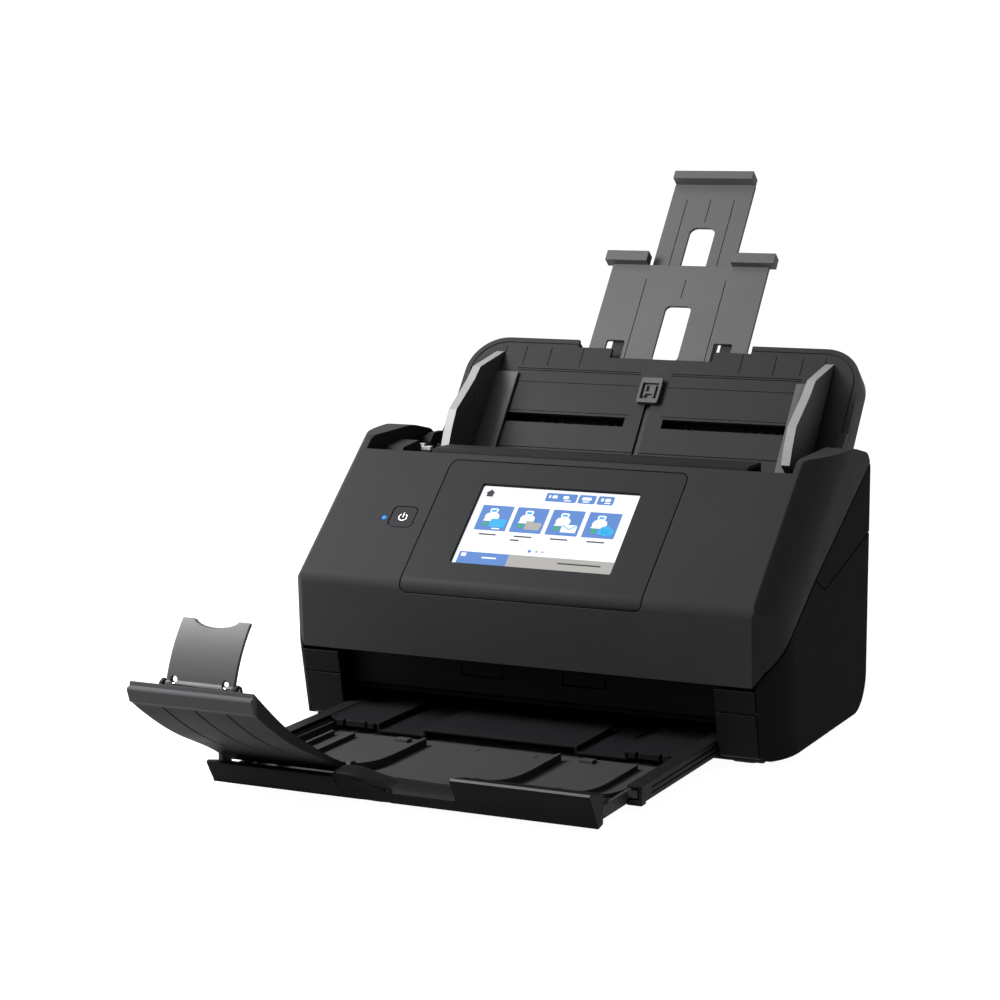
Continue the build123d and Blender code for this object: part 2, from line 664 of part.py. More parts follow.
with BuildPart() as left_edge_guide:
    add(left_half.part)
    plate(TRAY, (-GUIDE_FACE - 0.5, -91), (-20, 54.5), (0.3, 2.2))
    slab([tray_point(*place) for place in
          ((-20, 0.3), (-20, 32), (-10, 34.6), (3.7, 36.5), (31.5, 26.5), (43, 24), (70, 0.3))],
         -GUIDE_FACE - 5.5, -GUIDE_FACE)
    plate(TRAY, (-103, -94), (20, 36.5), RACK_LAYER)
    plate(TRAY, (-103, -94), (20, 25.4), (RACK_LAYER[1], 0.3))

with BuildPart() as centre_clip:
    plate(TRAY, (-7, 7), (35.6, 53.6), (0.3, 3.4), corner=1.5)
    plate(TRAY, (-5.2, 5.2), (38.4, 49.6), (1.4, 4), Mode.SUBTRACT)
    for x, along in (((-3.6, -2.2), (40, 48.6)), ((2.2, 3.6), (40, 48.6)), ((-3, 3), (42, 43.6))):
        plate(TRAY, x, along, (1.2, 3))
    plate(TRAY, (-1.4, 1.4), (37, 53), (-1, 1.4))

with BuildPart() as tray_extension:
    plate(TRAY, (-52.2, 52.2), (69, 142.6), (-7.2, -5))
    for low in (-56.4, 28):
        plate(TRAY, (low, low + 28.4), (142.6, 150), (-7.2, 0))
    for low in (28, -30):
        plate(TRAY, (low, low + 2), (69, 142), (-11.6, -7.2))
    plate(TRAY, (-8.5, 8.5), (71, 112), (-8, 0), Mode.SUBTRACT, corner=3.5)
    for low in (-41.4, 29.6):
        plate(TRAY, (low, low + 12), (71, 85.2), (-8, 0), Mode.SUBTRACT, corner=1)
    for x, foot in ((-26.5, 70), (0, 118), (26.5, 70)):
        plate(TRAY, (x - 0.35, x + 0.35), (foot, 132), (-5.5, -5), Mode.SUBTRACT)

with BuildPart() as tray_extension_tip:
    plate(TRAY, (-27.2, 27.2), (134, 208.5), (-11.2, -9))
    plate(TRAY, (-26.8, 26.8), (208.5, 214.5), (-11.2, -1.7))
    plate(TRAY, (-8.5, 8.5), (140, 175), (-12, 0), Mode.SUBTRACT, corner=5)
    for x, foot in ((-16, 136), (0, 179), (16, 136)):
        plate(TRAY, (x - 0.35, x + 0.35), (foot, 197), (-9.5, -9), Mode.SUBTRACT)

with BuildPart() as tray_screws:
    for x in (-110, 110):
        for along in (6, 50):
            with BuildSketch(TRAY.offset(-TRAY_DEPTH - 0.8)):
                with Locations((x, along)):
                    Circle(2.6)
            extrude(amount=0.8)

# ---------------------------------------------------------------------------------------------------------
# The output tray
# ---------------------------------------------------------------------------------------------------------

STAGE_FLOOR = (4, 5.2)
RISE_FROM = -150
LIP = -216

with BuildPart() as output_tray:
    # the plate that paper lands on: a raised middle, and raised sides that slope up to the rails
    run([(0, 10.2), (0, 11.6), (46, 11.6), (46, 8.6), (73, 8.6), (73, 12.1), (100.4, 12.1), (104.5, 14), (104.5, 12.6),
         (101, 10.8), (74.6, 10.8), (74.6, 7.2), (44.6, 7.2), (44.6, 10.2)], -32, -104.6)
    block((0, 46), (-54, -50), (7, 14), Mode.SUBTRACT)
    block((0, 46), (-50, -32), (9.2, 14), Mode.SUBTRACT)
    block((0, 46), (-50, -32), (7.2, 9.2))
    # the lip at the sides' front edge, with two notches
    block((76, 99.4), (-105.8, -104.6), (8.8, 12.1))
    for notch in (80, 93.6):
        block((notch, notch + 1.6), (-106, -102.6), (8, 13), Mode.SUBTRACT)
    # the rail, open towards the middle, with two grooves along its outer side
    block((104, 112), (-163, -36), (5, 14))
    block((103, 110.4), (-180, -30), (6.4, 12.6), Mode.SUBTRACT)
    for low in (7.4, 10.2):
        block((111.4, 113), (-180, -30), (low, low + 1.2), Mode.SUBTRACT)
    mirror(about=Plane.YZ)
    # the right rail reaches further forward and ends in a foot
    block((104, 112), (-176, -163), (5, 14))
    block((103, 110.4), (-180, -160), (6.4, 12.6), Mode.SUBTRACT)
    block((104, 112), (-176, -170), (3.8, 5))
    block((62.6, 63.8), (-64, -44), (6, 10), Mode.SUBTRACT)


def rising(low, high, foot, rise, front=LIP):
    """A solid along the output tray between two values of x, its top rising ever faster towards the front."""
    part = (RISE_FROM - front) / (RISE_FROM - LIP)
    top = foot + rise * part ** 2
    with BuildSketch(SIDE.offset(low)) as profile:
        with BuildLine():
            Spline((RISE_FROM, foot), (front, top), tangents=((-1, 0), (LIP - RISE_FROM, 2 * rise * part)))
            Polyline((front, top), (front, STAGE_FLOOR[0]), (-114, STAGE_FLOOR[0]), (-114, foot), (RISE_FROM, foot))
        make_face()
    extrude(profile.sketch, amount=high - low, dir=(1, 0, 0))


def lip(low, high, front, top):
    """The tray's front lip between two values of x, from its front edge and the height of its top."""
    slab([(-215.6, 4.4), (-220.5, 3.4), (-222, 3.4), (front + 6.6, top - 11.3), (front + 2.6, top - 5.3),
          (front, top - 0.8), (front + 1.6, top), (-215.6, top - 2.7)], low, high)


with BuildPart() as output_tray_extension:
    block((-103.4, 103.4), (-222, -80), STAGE_FLOOR)
    for x in (-9, 25):
        block((x - 0.4, x + 0.4), (-190, -108), (4.7, 6), Mode.SUBTRACT)
    for low in (101.4, -103.4):
        block((low, low + 2), (-218, -80), (STAGE_FLOOR[0], 10.4))
    for low in (103.4, -109.4):
        block((low, low + 6), (-175, -80), (7.2, 11.6))
    for low in (51, -59):
        block((low, low + 8), (-114, -108), (STAGE_FLOOR[0], 7))
    # the floor's rise to the lip, and the ribs along it
    rising(41, 101.4, STAGE_FLOOR[1], 13.6)
    rising(-36.2, 39, STAGE_FLOOR[1], 9.4)
    rising(-101.4, -41, STAGE_FLOOR[1], 5)
    rising(38.8, 41.2, 9.4, 10.4)
    rising(-41.2, -38.8, 9.4, 10.4, -198)
    for x in (84, 97):
        rising(x - 1.1, x + 1.1, 8, 12)
        rising(-x - 1.1, 1.1 - x, 8, 12, -198)
    # the lip: high at the right, low under the paper stop, with a finger recess in the middle
    lip(33, 108, -232.6, 22.3)
    lip(-108, -33.4, -229, 16.2)
    with BuildSketch(SIDE.offset(-24)):
        Polygon((-215.6, 4.4), (-222, 3.4), (-226, 11), (-229.6, 17.4), (-228, 18.6), (-215.6, 19), align=None)
    with BuildSketch(SIDE.offset(-13)):
        Polygon((-215.6, 4.4), (-222, 3.4), (-225.4, 9.6), (-228, 13.4), (-225.4, 15.6), (-215.6, 16.6), align=None)
    with BuildSketch(SIDE.offset(-2)):
        Polygon((-215.6, 4.4), (-222, 3.4), (-224.4, 7.4), (-225.6, 9.4), (-222.5, 12.4), (-215.6, 14.8), align=None)
    loft()
    slab([(-215.6, 4.4), (-222, 3.4), (-226, 11), (-229.6, 17.4), (-228, 18.6), (-215.6, 19)], -33.4, -24)
    slab([(-215.6, 4.4), (-222, 3.4), (-224.4, 7.4), (-225.6, 9.4), (-222.5, 12.4), (-215.6, 14.8)], -2, 33)
    # lugs for the paper stop's pin
    for low in (-110.4, -36):
        slab([(-213, 5), (-213, 16), (-210, 19), (-205.5, 18.5), (-203.6, 15), (-203.6, 5)], low, low + 2.6)
    rod(STOP_PIVOT, 1.5, -112, -30, Mode.SUBTRACT)

with BuildPart() as paper_stop_pin:
    rod(STOP_PIVOT, 1.5, -110.4, -33.4)

with BuildPart() as paper_stop:
    with BuildSketch(SIDE.offset(-107)):
        with BuildLine():
            Spline((-203.8, 16.4), (-216, 20.6), (-239, 32), (-262, 44.6), (-284, 60.2), (-298, 71.4))
            Polyline((-298, 71.4), (-299, 72), (-299.4, 69.6), (-301.4, 69.2), (-302, 68), (-299.6, 61.6), (-298, 61))
            Spline((-298, 61), (-276.4, 46.6), (-257.5, 36.1), (-236, 26.4), (-211.5, 13.2))
            Polyline((-211.5, 13.2), (-206, 12), (-203.8, 16.4))
        make_face()
    extrude(amount=70, dir=(1, 0, 0))
    rod(STOP_PIVOT, 1.55, -110, -30, Mode.SUBTRACT)
    for x in (-90, -72, -54):
        slab([(-296, 58.6), (-276.4, 45.6), (-257.5, 35.1), (-236, 25.4), (-235.7, 27.1), (-257.2, 36.9),
              (-276.1, 47.4), (-296, 60.4)], x - 0.5, x + 0.5, Mode.SUBTRACT)
    for low in (-94, -52.6):
        slab([(-283, 59), (-287, 71.5), (-290, 73), (-293, 71.5), (-295, 66)], low, low + 2)
    rod(FLAP_PIVOT, 1.2, -95, -50, Mode.SUBTRACT)

with BuildPart() as stop_flap_pin:
    rod(FLAP_PIVOT, 1.2, -94, -50.6)

with BuildPart() as stop_flap:
    with BuildSketch(SIDE.offset(-91.4)):
        with BuildLine():
            ThreePointArc((-291.1, 70.6), (-285.5, 84.5), (-274, 100.4))
            Line((-274, 100.4), (-272.4, 99.4))
            ThreePointArc((-272.4, 99.4), (-283.6, 83.7), (-288.9, 69.8))
            Line((-288.9, 69.8), (-291.1, 70.6))
        make_face()
    extrude(amount=38.4, dir=(1, 0, 0))
    rod(FLAP_PIVOT, 2.2, -91.4, -53)
    rod(FLAP_PIVOT, 1.25, -95, -50, Mode.SUBTRACT)
    with BuildSketch(BACK.offset(260)):
        with Locations((-72.2, 101.4)):
            Ellipse(13, 4.6)
        with Locations((-87, 72.6), (-58, 72.6)):
            Circle(1.7)
    extrude(amount=40, mode=Mode.SUBTRACT)

# ---------------------------------------------------------------------------------------------------------
# Writing the pieces
# ---------------------------------------------------------------------------------------------------------

PIECES = {
    "scanner_cover": scanner_cover, "control_panel": control_panel, "touch_screen": touch_screen,
    "display_module": display_module, "panel_board": panel_board, "power_button": power_button,
    "status_light": status_light, "upper_paper_guide": upper_paper_guide, "front_scan_glass": front_scan_glass,
    "front_image_sensor": front_image_sensor, "separation_roller": separation_roller,
    "roller_holder": roller_holder, "upper_feed_rollers": upper_feed_rollers,
    "upper_exit_rollers": upper_exit_rollers, "roller_clips": roller_clips, "cover_lever": cover_lever,
    "lever_bracket": lever_bracket, "separation_switch": separation_switch,
    "bottom_cover": bottom_cover, "rubber_feet": rubber_feet,
    "base_screws": base_screws, "side_cover_left": side_cover_left, "side_cover_right": side_cover_right,
    "wedge_cover_left": wedge_cover_left, "wedge_cover_right": wedge_cover_right, "rear_cover": rear_cover,
    "hinge_cover_left": hinge_cover_left, "hinge_cover_right": hinge_cover_right,
    "corner_cover_left": corner_cover_left, "corner_cover_right": corner_cover_right,
    "frame_walls": frame_walls, "tray_hinge_pins": tray_hinge_pins, "cover_hinge_pins": cover_hinge_pins,
    "feed_bed": feed_bed, "rear_scan_glass": rear_scan_glass, "rear_image_sensor": rear_image_sensor,
    "feed_roller": feed_roller, "exit_roller": exit_roller, "pickup_roller": pickup_roller,
    "motor_pulley": motor_pulley, "feed_motor": feed_motor, "drive_belt": drive_belt, "main_board": main_board,
    "power_jack": power_jack, "usb_sockets": usb_sockets, "input_tray": input_tray,
    "input_tray_back": input_tray_back, "guide_pinion": guide_pinion, "right_edge_guide": right_edge_guide,
    "left_edge_guide": left_edge_guide, "centre_clip": centre_clip, "tray_extension": tray_extension,
    "tray_extension_tip": tray_extension_tip, "tray_screws": tray_screws, "output_tray": output_tray,
    "output_tray_extension": output_tray_extension, "paper_stop": paper_stop, "paper_stop_pin": paper_stop_pin,
    "stop_flap": stop_flap, "stop_flap_pin": stop_flap_pin,
}
for name, piece in PIECES.items():
    piece.part.label = name
    export_step(piece.part, f"parts/{name}.step")
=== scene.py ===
"""Looks of the sheet-fed document scanner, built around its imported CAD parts. Everything is in metres."""
import json
import math
import random

import bmesh
import bpy
from mathutils import Matrix, Vector


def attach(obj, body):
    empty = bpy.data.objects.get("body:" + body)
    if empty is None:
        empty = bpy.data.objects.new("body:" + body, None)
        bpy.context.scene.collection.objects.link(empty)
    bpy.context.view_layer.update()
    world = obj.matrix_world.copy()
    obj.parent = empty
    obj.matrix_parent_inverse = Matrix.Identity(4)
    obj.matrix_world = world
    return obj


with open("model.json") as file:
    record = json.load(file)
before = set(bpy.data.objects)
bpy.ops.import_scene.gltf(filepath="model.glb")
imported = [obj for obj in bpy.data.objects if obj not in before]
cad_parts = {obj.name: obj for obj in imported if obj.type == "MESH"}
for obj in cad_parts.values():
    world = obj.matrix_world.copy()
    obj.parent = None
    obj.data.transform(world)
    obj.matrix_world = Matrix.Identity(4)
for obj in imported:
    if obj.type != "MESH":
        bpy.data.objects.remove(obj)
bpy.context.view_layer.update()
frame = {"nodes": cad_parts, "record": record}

MM = 0.001
BODY_Y = 0.039
TRAY_DEG = 52
SLOPE_DEG = 40.9
TRAY_ORIGIN = (86.5, 143.6)
SLOPE_ORIGIN = (-81.2, 87.9)
SCREEN_GLASS = -2.72
MARK_HEIGHTS = (-0.02, 0.04)
MARK_LINE = 0.35
CAMERA_PLACE = (0.56218, -1.30164 + BODY_Y, 0.33457)
CAMERA_AZIMUTH = 25.128
CAMERA_ELEVATION = 8.304
CAMERA_LENS = 90.18
FLOOR_DROP = 0.0002
PLASTIC_VARIATION = 0.035

# ---------------------------------------------------------------------------------------------------------
# Materials
# ---------------------------------------------------------------------------------------------------------


def new_material(name):
    """A material with its node tree, its shader and a texture coordinate in the object's own space."""
    material = bpy.data.materials.new(name)
    material.use_nodes = True
    tree = material.node_tree
    shader = tree.nodes["Principled BSDF"]
    place = tree.nodes.new("ShaderNodeTexCoord")
    return material, tree, shader, place.outputs["Object"]


def noise(tree, place, scale, detail=3.0, roughness=0.5):
    """The value of a noise texture at a scale in features a metre."""
    node = tree.nodes.new("ShaderNodeTexNoise")
    node.inputs["Scale"].default_value = scale
    node.inputs["Detail"].default_value = detail
    node.inputs["Roughness"].default_value = roughness
    tree.links.new(place, node.inputs["Vector"])
    return node.outputs["Fac"]


def spread(tree, value, low, high, from_low=0.3, from_high=0.7):
    """A value mapped from one range to another."""
    node = tree.nodes.new("ShaderNodeMapRange")
    for socket, number in zip(node.inputs[1:5], (from_low, from_high, low, high)):
        socket.default_value = number
    tree.links.new(value, node.inputs["Value"])
    return node.outputs["Result"]


def mix_colour(tree, factor, first, second):
    """Two colours mixed by a value."""
    node = tree.nodes.new("ShaderNodeMix")
    node.data_type = "RGBA"
    tree.links.new(factor, node.inputs["Factor"])
    for socket, colour in ((node.inputs[6], first), (node.inputs[7], second)):
        if isinstance(colour, tuple):
            socket.default_value = (*colour, 1)
        else:
            tree.links.new(colour, socket)
    return node.outputs[2]


def bump(tree, shader, height, strength, distance):
    """Adds a height to the shader's normal."""
    node = tree.nodes.new("ShaderNodeBump")
    node.inputs["Strength"].default_value = strength
    node.inputs["Distance"].default_value = distance
    tree.links.new(height, node.inputs["Height"])
    tree.links.new(node.outputs["Normal"], shader.inputs["Normal"])


def shade(colour, amount):
    """A colour made lighter or darker by a factor."""
    return tuple(min(1, part * amount) for part in colour)


def plastic(name, colour, roughness, grain=1500, depth=0.00005, specular=0.5, front=None):
    """Moulded plastic: fine spark texture, faint cloudy colour, uneven sheen and a little dust in the grain.

    front is (y, share): in front of that y the colour is scaled by that share, on the output stage as
    painted shade on its recess wall and lip front, on the paper stop as a lighter front end.
    """
    material, tree, shader, place = new_material(name)
    cloud = noise(tree, place, 22, 4)
    fine = noise(tree, place, grain, 2, 0.7)
    darker = shade(colour, 1 - PLASTIC_VARIATION)
    lighter = shade(colour, 1 + PLASTIC_VARIATION)
    base = mix_colour(tree, spread(tree, cloud, 0, 1), darker, lighter)
    speck = mix_colour(tree, spread(tree, fine, 0, 1, 0.55, 0.8), base, shade(colour, 1.35))
    # painted shade: in front of y the colour is scaled by the share, darker on the output stage; on the
    # paper stop the share gives a lighter front end
    if front:
        split = tree.nodes.new("ShaderNodeSeparateXYZ")
        tree.links.new(place, split.inputs["Vector"])
        front_shade_and_tone_mask = spread(tree, split.outputs["Y"], 0, 1, front[0] - 0.002, front[0] + 0.002)
        speck = mix_colour(tree, front_shade_and_tone_mask, shade(colour, front[1]), speck)
    tree.links.new(speck, shader.inputs["Base Color"])
    rough = spread(tree, noise(tree, place, 60, 3), roughness - 0.03, roughness + 0.03)
    tree.links.new(rough, shader.inputs["Roughness"])
    shader.inputs["Specular IOR Level"].default_value = specular
    bump(tree, shader, fine, 0.35, depth)
    return material


def metal(name, colour, roughness):
    """Drawn or turned metal with fine lines along X."""
    material, tree, shader, place = new_material(name)
    stretch = tree.nodes.new("ShaderNodeMapping")
    stretch.inputs["Scale"].default_value = (40, 900, 900)
    tree.links.new(place, stretch.inputs["Vector"])
    lines = noise(tree, stretch.outputs["Vector"], 1, 3)
    tone = mix_colour(tree, lines, shade(colour, 0.85), shade(colour, 1.1))
    tree.links.new(tone, shader.inputs["Base Color"])
    tree.links.new(spread(tree, lines, roughness - 0.08, roughness + 0.08), shader.inputs["Roughness"])
    shader.inputs["Metallic"].default_value = 1
    bump(tree, shader, lines, 0.25, 0.00003)
    return material


def glow(name, colour, strength):
    """A lit surface, such as a screen's pixels or a lamp, under a smooth cover."""
    material, tree, shader, place = new_material(name)
    level = spread(tree, noise(tree, place, 2500, 1), 0.96, 1.04)
    lit = tree.nodes.new("ShaderNodeVectorMath")
    lit.operation = "SCALE"
    lit.inputs[0].default_value = colour
    tree.links.new(level, lit.inputs["Scale"])
    tree.links.new(lit.outputs[0], shader.inputs["Emission Color"])
    dull = tree.nodes.new("ShaderNodeVectorMath")
    dull.operation = "SCALE"
    dull.inputs["Scale"].default_value = 0.05
    tree.links.new(lit.outputs[0], dull.inputs[0])
    tree.links.new(dull.outputs[0], shader.inputs["Base Color"])
    shader.inputs["Specular IOR Level"].default_value = 0.15
    shader.inputs["Emission Strength"].default_value = strength
    shader.inputs["Roughness"].default_value = 0.2
    return material


MAT = {
    "charcoal": plastic("charcoal_plastic", (0.0165, 0.0167, 0.0172), 0.52, specular=0.015),
    # side and wedge covers: a darker copy of the charcoal plastic, painted shade
    "side": plastic("side_painted_shade_plastic", (0.006, 0.0062, 0.0067), 0.55, specular=0.003),
    "panel": plastic("panel_plastic", (0.0125, 0.0127, 0.0132), 0.48, depth=0.00003, specular=0.03),
    "corner": plastic("corner_plastic", (0.0045, 0.0046, 0.005), 0.52, specular=0.025),
    "inner": plastic("inner_plastic", (0.0035, 0.0035, 0.0038), 0.6, specular=0.08),
    "tray": plastic("tray_plastic", (0.012, 0.0122, 0.0127), 0.55, specular=0.08),
    "output": plastic("output_tray_plastic", (0.006, 0.0062, 0.0067), 0.5, specular=0.03),
    # the output stage: painted shade in front of y -0.176, on its recess wall and lip front
    "output_floor": plastic("output_stage_painted_shade_plastic", (0.024, 0.0242, 0.0247), 0.5, specular=0.025,
                            front=(-0.176, 0.15)),
    "extension": plastic("extension_plastic", (0.048, 0.0485, 0.0495), 0.55, specular=0.12),
    "guide": plastic("guide_plastic", (0.045, 0.045, 0.045), 0.55, specular=0.12),
    # the guides' front edges: light grey, partly their own colour and partly a painted highlight
    "guide_edge": plastic("guide_edge_plastic", (0.135, 0.133, 0.129), 0.5, specular=0.2),
    "stop": plastic("paper_stop_plastic", (0.015, 0.0152, 0.0157), 0.5, specular=0.015,
                    front=(-0.2585, 3.2)),
    "flap": plastic("stop_flap_plastic", (0.037, 0.0375, 0.0385), 0.5, specular=0.15),
    "light_grey": plastic("light_grey_plastic", (0.2, 0.2, 0.2), 0.55),
    "black": plastic("black_gloss_plastic", (0.003, 0.003, 0.003), 0.35, depth=0.00001, specular=0.2),
    "rubber": plastic("roller_rubber", (0.012, 0.012, 0.013), 0.75, grain=900, depth=0.0001),
    "board": plastic("solder_mask", (0.005, 0.045, 0.018), 0.35, grain=600),
    "motor": plastic("motor_enamel", (0.06, 0.06, 0.062), 0.4),
    "steel": metal("drawn_steel", (0.55, 0.55, 0.57), 0.3),
    "white": glow("screen_white", (0.93, 0.95, 1.0), 1.0),
    "blue": glow("screen_blue", (0.085, 0.22, 0.57), 0.95),
    "cyan": glow("screen_cyan", (0.02, 0.42, 0.8), 0.95),
    "green": glow("screen_green", (0.01, 0.42, 0.06), 0.95),
    "pale_grey": glow("screen_grey", (0.4, 0.39, 0.37), 0.95),
    "ink": glow("screen_ink", (0.03, 0.03, 0.035), 0.5),
    "led": glow("blue_lamp", (0.01, 0.25, 0.75), 1.2),
    "symbol": plastic("printed_symbol", (0.5, 0.51, 0.52), 0.5, depth=0.00001),
    # flat dark marks for debossed lines: the dark is a painted shade of their grooves
    "mark": plastic("debossed_mark_painted_shade", (0.006, 0.006, 0.0065), 0.6, specular=0.2),
}


def glass_material():
    """Scan glass: clear, with a faint green tint and smudges in its roughness."""
    material, tree, shader, place = new_material("scan_glass")
    shader.inputs["Base Color"].default_value = (0.75, 0.9, 0.85, 1)
    shader.inputs["Transmission Weight"].default_value = 0.85
    tree.links.new(spread(tree, noise(tree, place, 90, 3), 0.02, 0.12), shader.inputs["Roughness"])
    return material


MAT["glass"] = glass_material()

SLOT_MATERIALS = {
    "charcoal": "charcoal", "panel": "panel", "display": "white", "inner": "inner", "tray": "tray",
    "extension": "extension", "guide": "guide", "switch": "light_grey", "light": "led", "steel": "steel",
    "rubber": "rubber", "board": "board", "metal": "motor", "black": "black", "glass": "glass",
}
NODE_MATERIALS = {
    "hinge_cover_left": "corner", "hinge_cover_right": "corner", "corner_cover_left": "corner",
    "corner_cover_right": "corner", "side_cover_left": "side", "side_cover_right": "side",
    "wedge_cover_left": "side", "wedge_cover_right": "side", "output_tray": "output",
    "output_tray_extension": "output_floor", "paper_stop": "stop", "stop_flap": "flap",
}
for part in frame["record"]["subparts"]:
    name = part["node"]
    wanted = MAT[NODE_MATERIALS.get(name, SLOT_MATERIALS[part["material_slot"]])]
    node = frame["nodes"][name]
    if not node.material_slots:
        node.data.materials.append(wanted)
    for place in node.material_slots:
        place.material = wanted

# the CAD pieces' edges, rounded: width in millimetres
EDGE_WIDTHS = {
    "scanner_cover": 0.5, "control_panel": 0.4, "side_cover_left": 0.5, "side_cover_right": 0.5,
    "wedge_cover_left": 0.4, "wedge_cover_right": 0.4, "rear_cover": 0.4, "hinge_cover_left": 0.5,
    "hinge_cover_right": 0.5, "corner_cover_left": 0.5, "corner_cover_right": 0.5, "bottom_cover": 0.3,
    "power_button": 0.4, "cover_lever": 0.4, "separation_switch": 0.3, "rubber_feet": 0.5,
    "upper_paper_guide": 0.2, "input_tray_back": 0.5, "tray_extension": 0.25, "tray_extension_tip": 0.25,
    "right_edge_guide": 0.45, "left_edge_guide": 0.45, "centre_clip": 0.3, "output_tray": 0.25,
    "output_tray_extension": 0.3, "paper_stop": 0.35, "stop_flap": 0.35, "usb_sockets": 0.15,
    "power_jack": 0.3, "feed_motor": 0.5, "feed_roller": 0.4, "exit_roller": 0.4, "pickup_roller": 0.5,
}


def soften(node, width):
    """Joins the node's flat faces and rounds its sharp edges, without touching its mesh."""
    weld = node.modifiers.new("weld", "WELD")
    weld.merge_threshold = 0.00001
    flat = node.modifiers.new("flat", "DECIMATE")
    flat.decimate_type = "DISSOLVE"
    flat.angle_limit = math.radians(0.4)
    edge = node.modifiers.new("edge", "BEVEL")
    edge.width = width * MM
    edge.segments = 2
    edge.limit_method = "ANGLE"
    edge.angle_limit = math.radians(32)
    edge.use_clamp_overlap = False
    normal = node.modifiers.new("normal", "WEIGHTED_NORMAL")
    normal.weight = 80


for name, width in EDGE_WIDTHS.items():
    soften(frame["nodes"][name], width)

# ---------------------------------------------------------------------------------------------------------
# Tools for the detail pieces: outlines are drawn in millimetres on a plane of the object
# ---------------------------------------------------------------------------------------------------------


def plane(origin, degrees):
    """A plane that rises towards the back from (y, z), with its own x, up-slope and height axes."""
    turn = math.radians(degrees)
    axes = ((1, 0, 0), (0, math.cos(turn), math.sin(turn)), (0, -math.sin(turn), math.cos(turn)))
    start = Matrix.Translation((0, BODY_Y + origin[0] * MM, origin[1] * MM))
    return start @ Matrix(axes).transposed().to_4x4()


SLOPE = plane(SLOPE_ORIGIN, SLOPE_DEG)
TRAY = plane(TRAY_ORIGIN, TRAY_DEG)
SIDE_VIEW = Matrix(((0, 0, 1, 0), (1, 0, 0, BODY_Y), (0, 1, 0, 0), (0, 0, 0, 1)))


def rectangle(x, y, radius=0.0, steps=5):
    """A rectangle between pairs of x and y, with round corners."""
    if not radius:
        return [(x[0], y[0]), (x[1], y[0]), (x[1], y[1]), (x[0], y[1])]
    corners = ((x[1] - radius, y[1] - radius, 0), (x[0] + radius, y[1] - radius, 90),
               (x[0] + radius, y[0] + radius, 180), (x[1] - radius, y[0] + radius, 270))
    points = []
    for centre_x, centre_y, start in corners:
        for step in range(steps + 1):
            turn = math.radians(start + 90 * step / steps)
            points.append((centre_x + radius * math.cos(turn), centre_y + radius * math.sin(turn)))
    return points


def disc(x, y, radius):
    """A circle's outline."""
    turns = [2 * math.pi * step / 24 for step in range(24)]
    return [(x + radius * math.cos(turn), y + radius * math.sin(turn)) for turn in turns]


def stroke(points, width):
    """The outlines of a line's straight pieces, with their ends overlapping at the corners."""
    outlines = []
    for (x, y), (next_x, next_y) in zip(points, points[1:]):
        length = math.hypot(next_x - x, next_y - y)
        along = ((next_x - x) / length * width / 2, (next_y - y) / length * width / 2)
        side = (-along[1], along[0])
        outlines.append([
            (x - along[0] + side[0], y - along[1] + side[1]),
            (x - along[0] - side[0], y - along[1] - side[1]),
            (next_x + along[0] - side[0], next_y + along[1] - side[1]),
            (next_x + along[0] + side[0], next_y + along[1] + side[1]),
        ])
    return outlines


def arc(x, y, radius, start, end, width, steps=20):
    """The outline of a piece of a ring between two angles in degrees."""
    turns = [math.radians(start + (end - start) * step / steps) for step in range(steps + 1)]
    far, near = radius + width / 2, radius - width / 2
    outer = [(x + far * math.cos(turn), y + far * math.sin(turn)) for turn in turns]
    inner = [(x + near * math.cos(turn), y + near * math.sin(turn)) for turn in turns]
    return outer + inner[::-1]


def add_prism(shape, outline, low, high, place):
    """Adds an outline, drawn out between two heights of a plane, to a mesh."""
    pairs = zip(outline, outline[1:] + outline[:1])
    area = sum(x * next_y - next_x * y for (x, y), (next_x, next_y) in pairs)
    if area < 0:
        outline = outline[::-1]
    rings = []
    for height in (low, high):
        rings.append([shape.verts.new(place @ Vector((x * MM, y * MM, height * MM))) for x, y in outline])
    count = len(outline)
    shape.faces.new(rings[0][::-1])
    shape.faces.new(rings[1])
    for step in range(count):
        after = (step + 1) % count
        shape.faces.new((rings[0][step], rings[0][after], rings[1][after], rings[1][step]))


def piece(name, shape, material, body, edge=0.0):
    """Makes a finished mesh into a piece that rides on a body."""
    mesh = bpy.data.meshes.new(name)
    shape.to_mesh(mesh)
    shape.free()
    mesh.materials.append(MAT[material])
    made = bpy.data.objects.new(name, mesh)
    bpy.context.collection.objects.link(made)
    if edge:
        rounding = made.modifiers.new("edge", "BEVEL")
        rounding.width = edge * MM
        rounding.segments = 2
        rounding.limit_method = "ANGLE"
    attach(made, body)


def prisms(name, place, outlines, low, high, material, body, edge=0.0):
    """One piece made of outlines drawn out between two heights of a plane."""
    shape = bmesh.new()
    for outline in outlines:
        add_prism(shape, outline, low, high, place)
    piece(name, shape, material, body, edge)


# ---------------------------------------------------------------------------------------------------------
# The screen's picture: a start page with four jobs, without any words
# ---------------------------------------------------------------------------------------------------------

TILE_LEFTS = (-43.2, -21.4, 0.5, 22.6)
TILE = (19.4, 43.8, 62.3)


def moved(outline, x, y, size=1.0):
    """An outline scaled and moved."""
    return [(x + point_x * size, y + point_y * size) for point_x, point_y in outline]


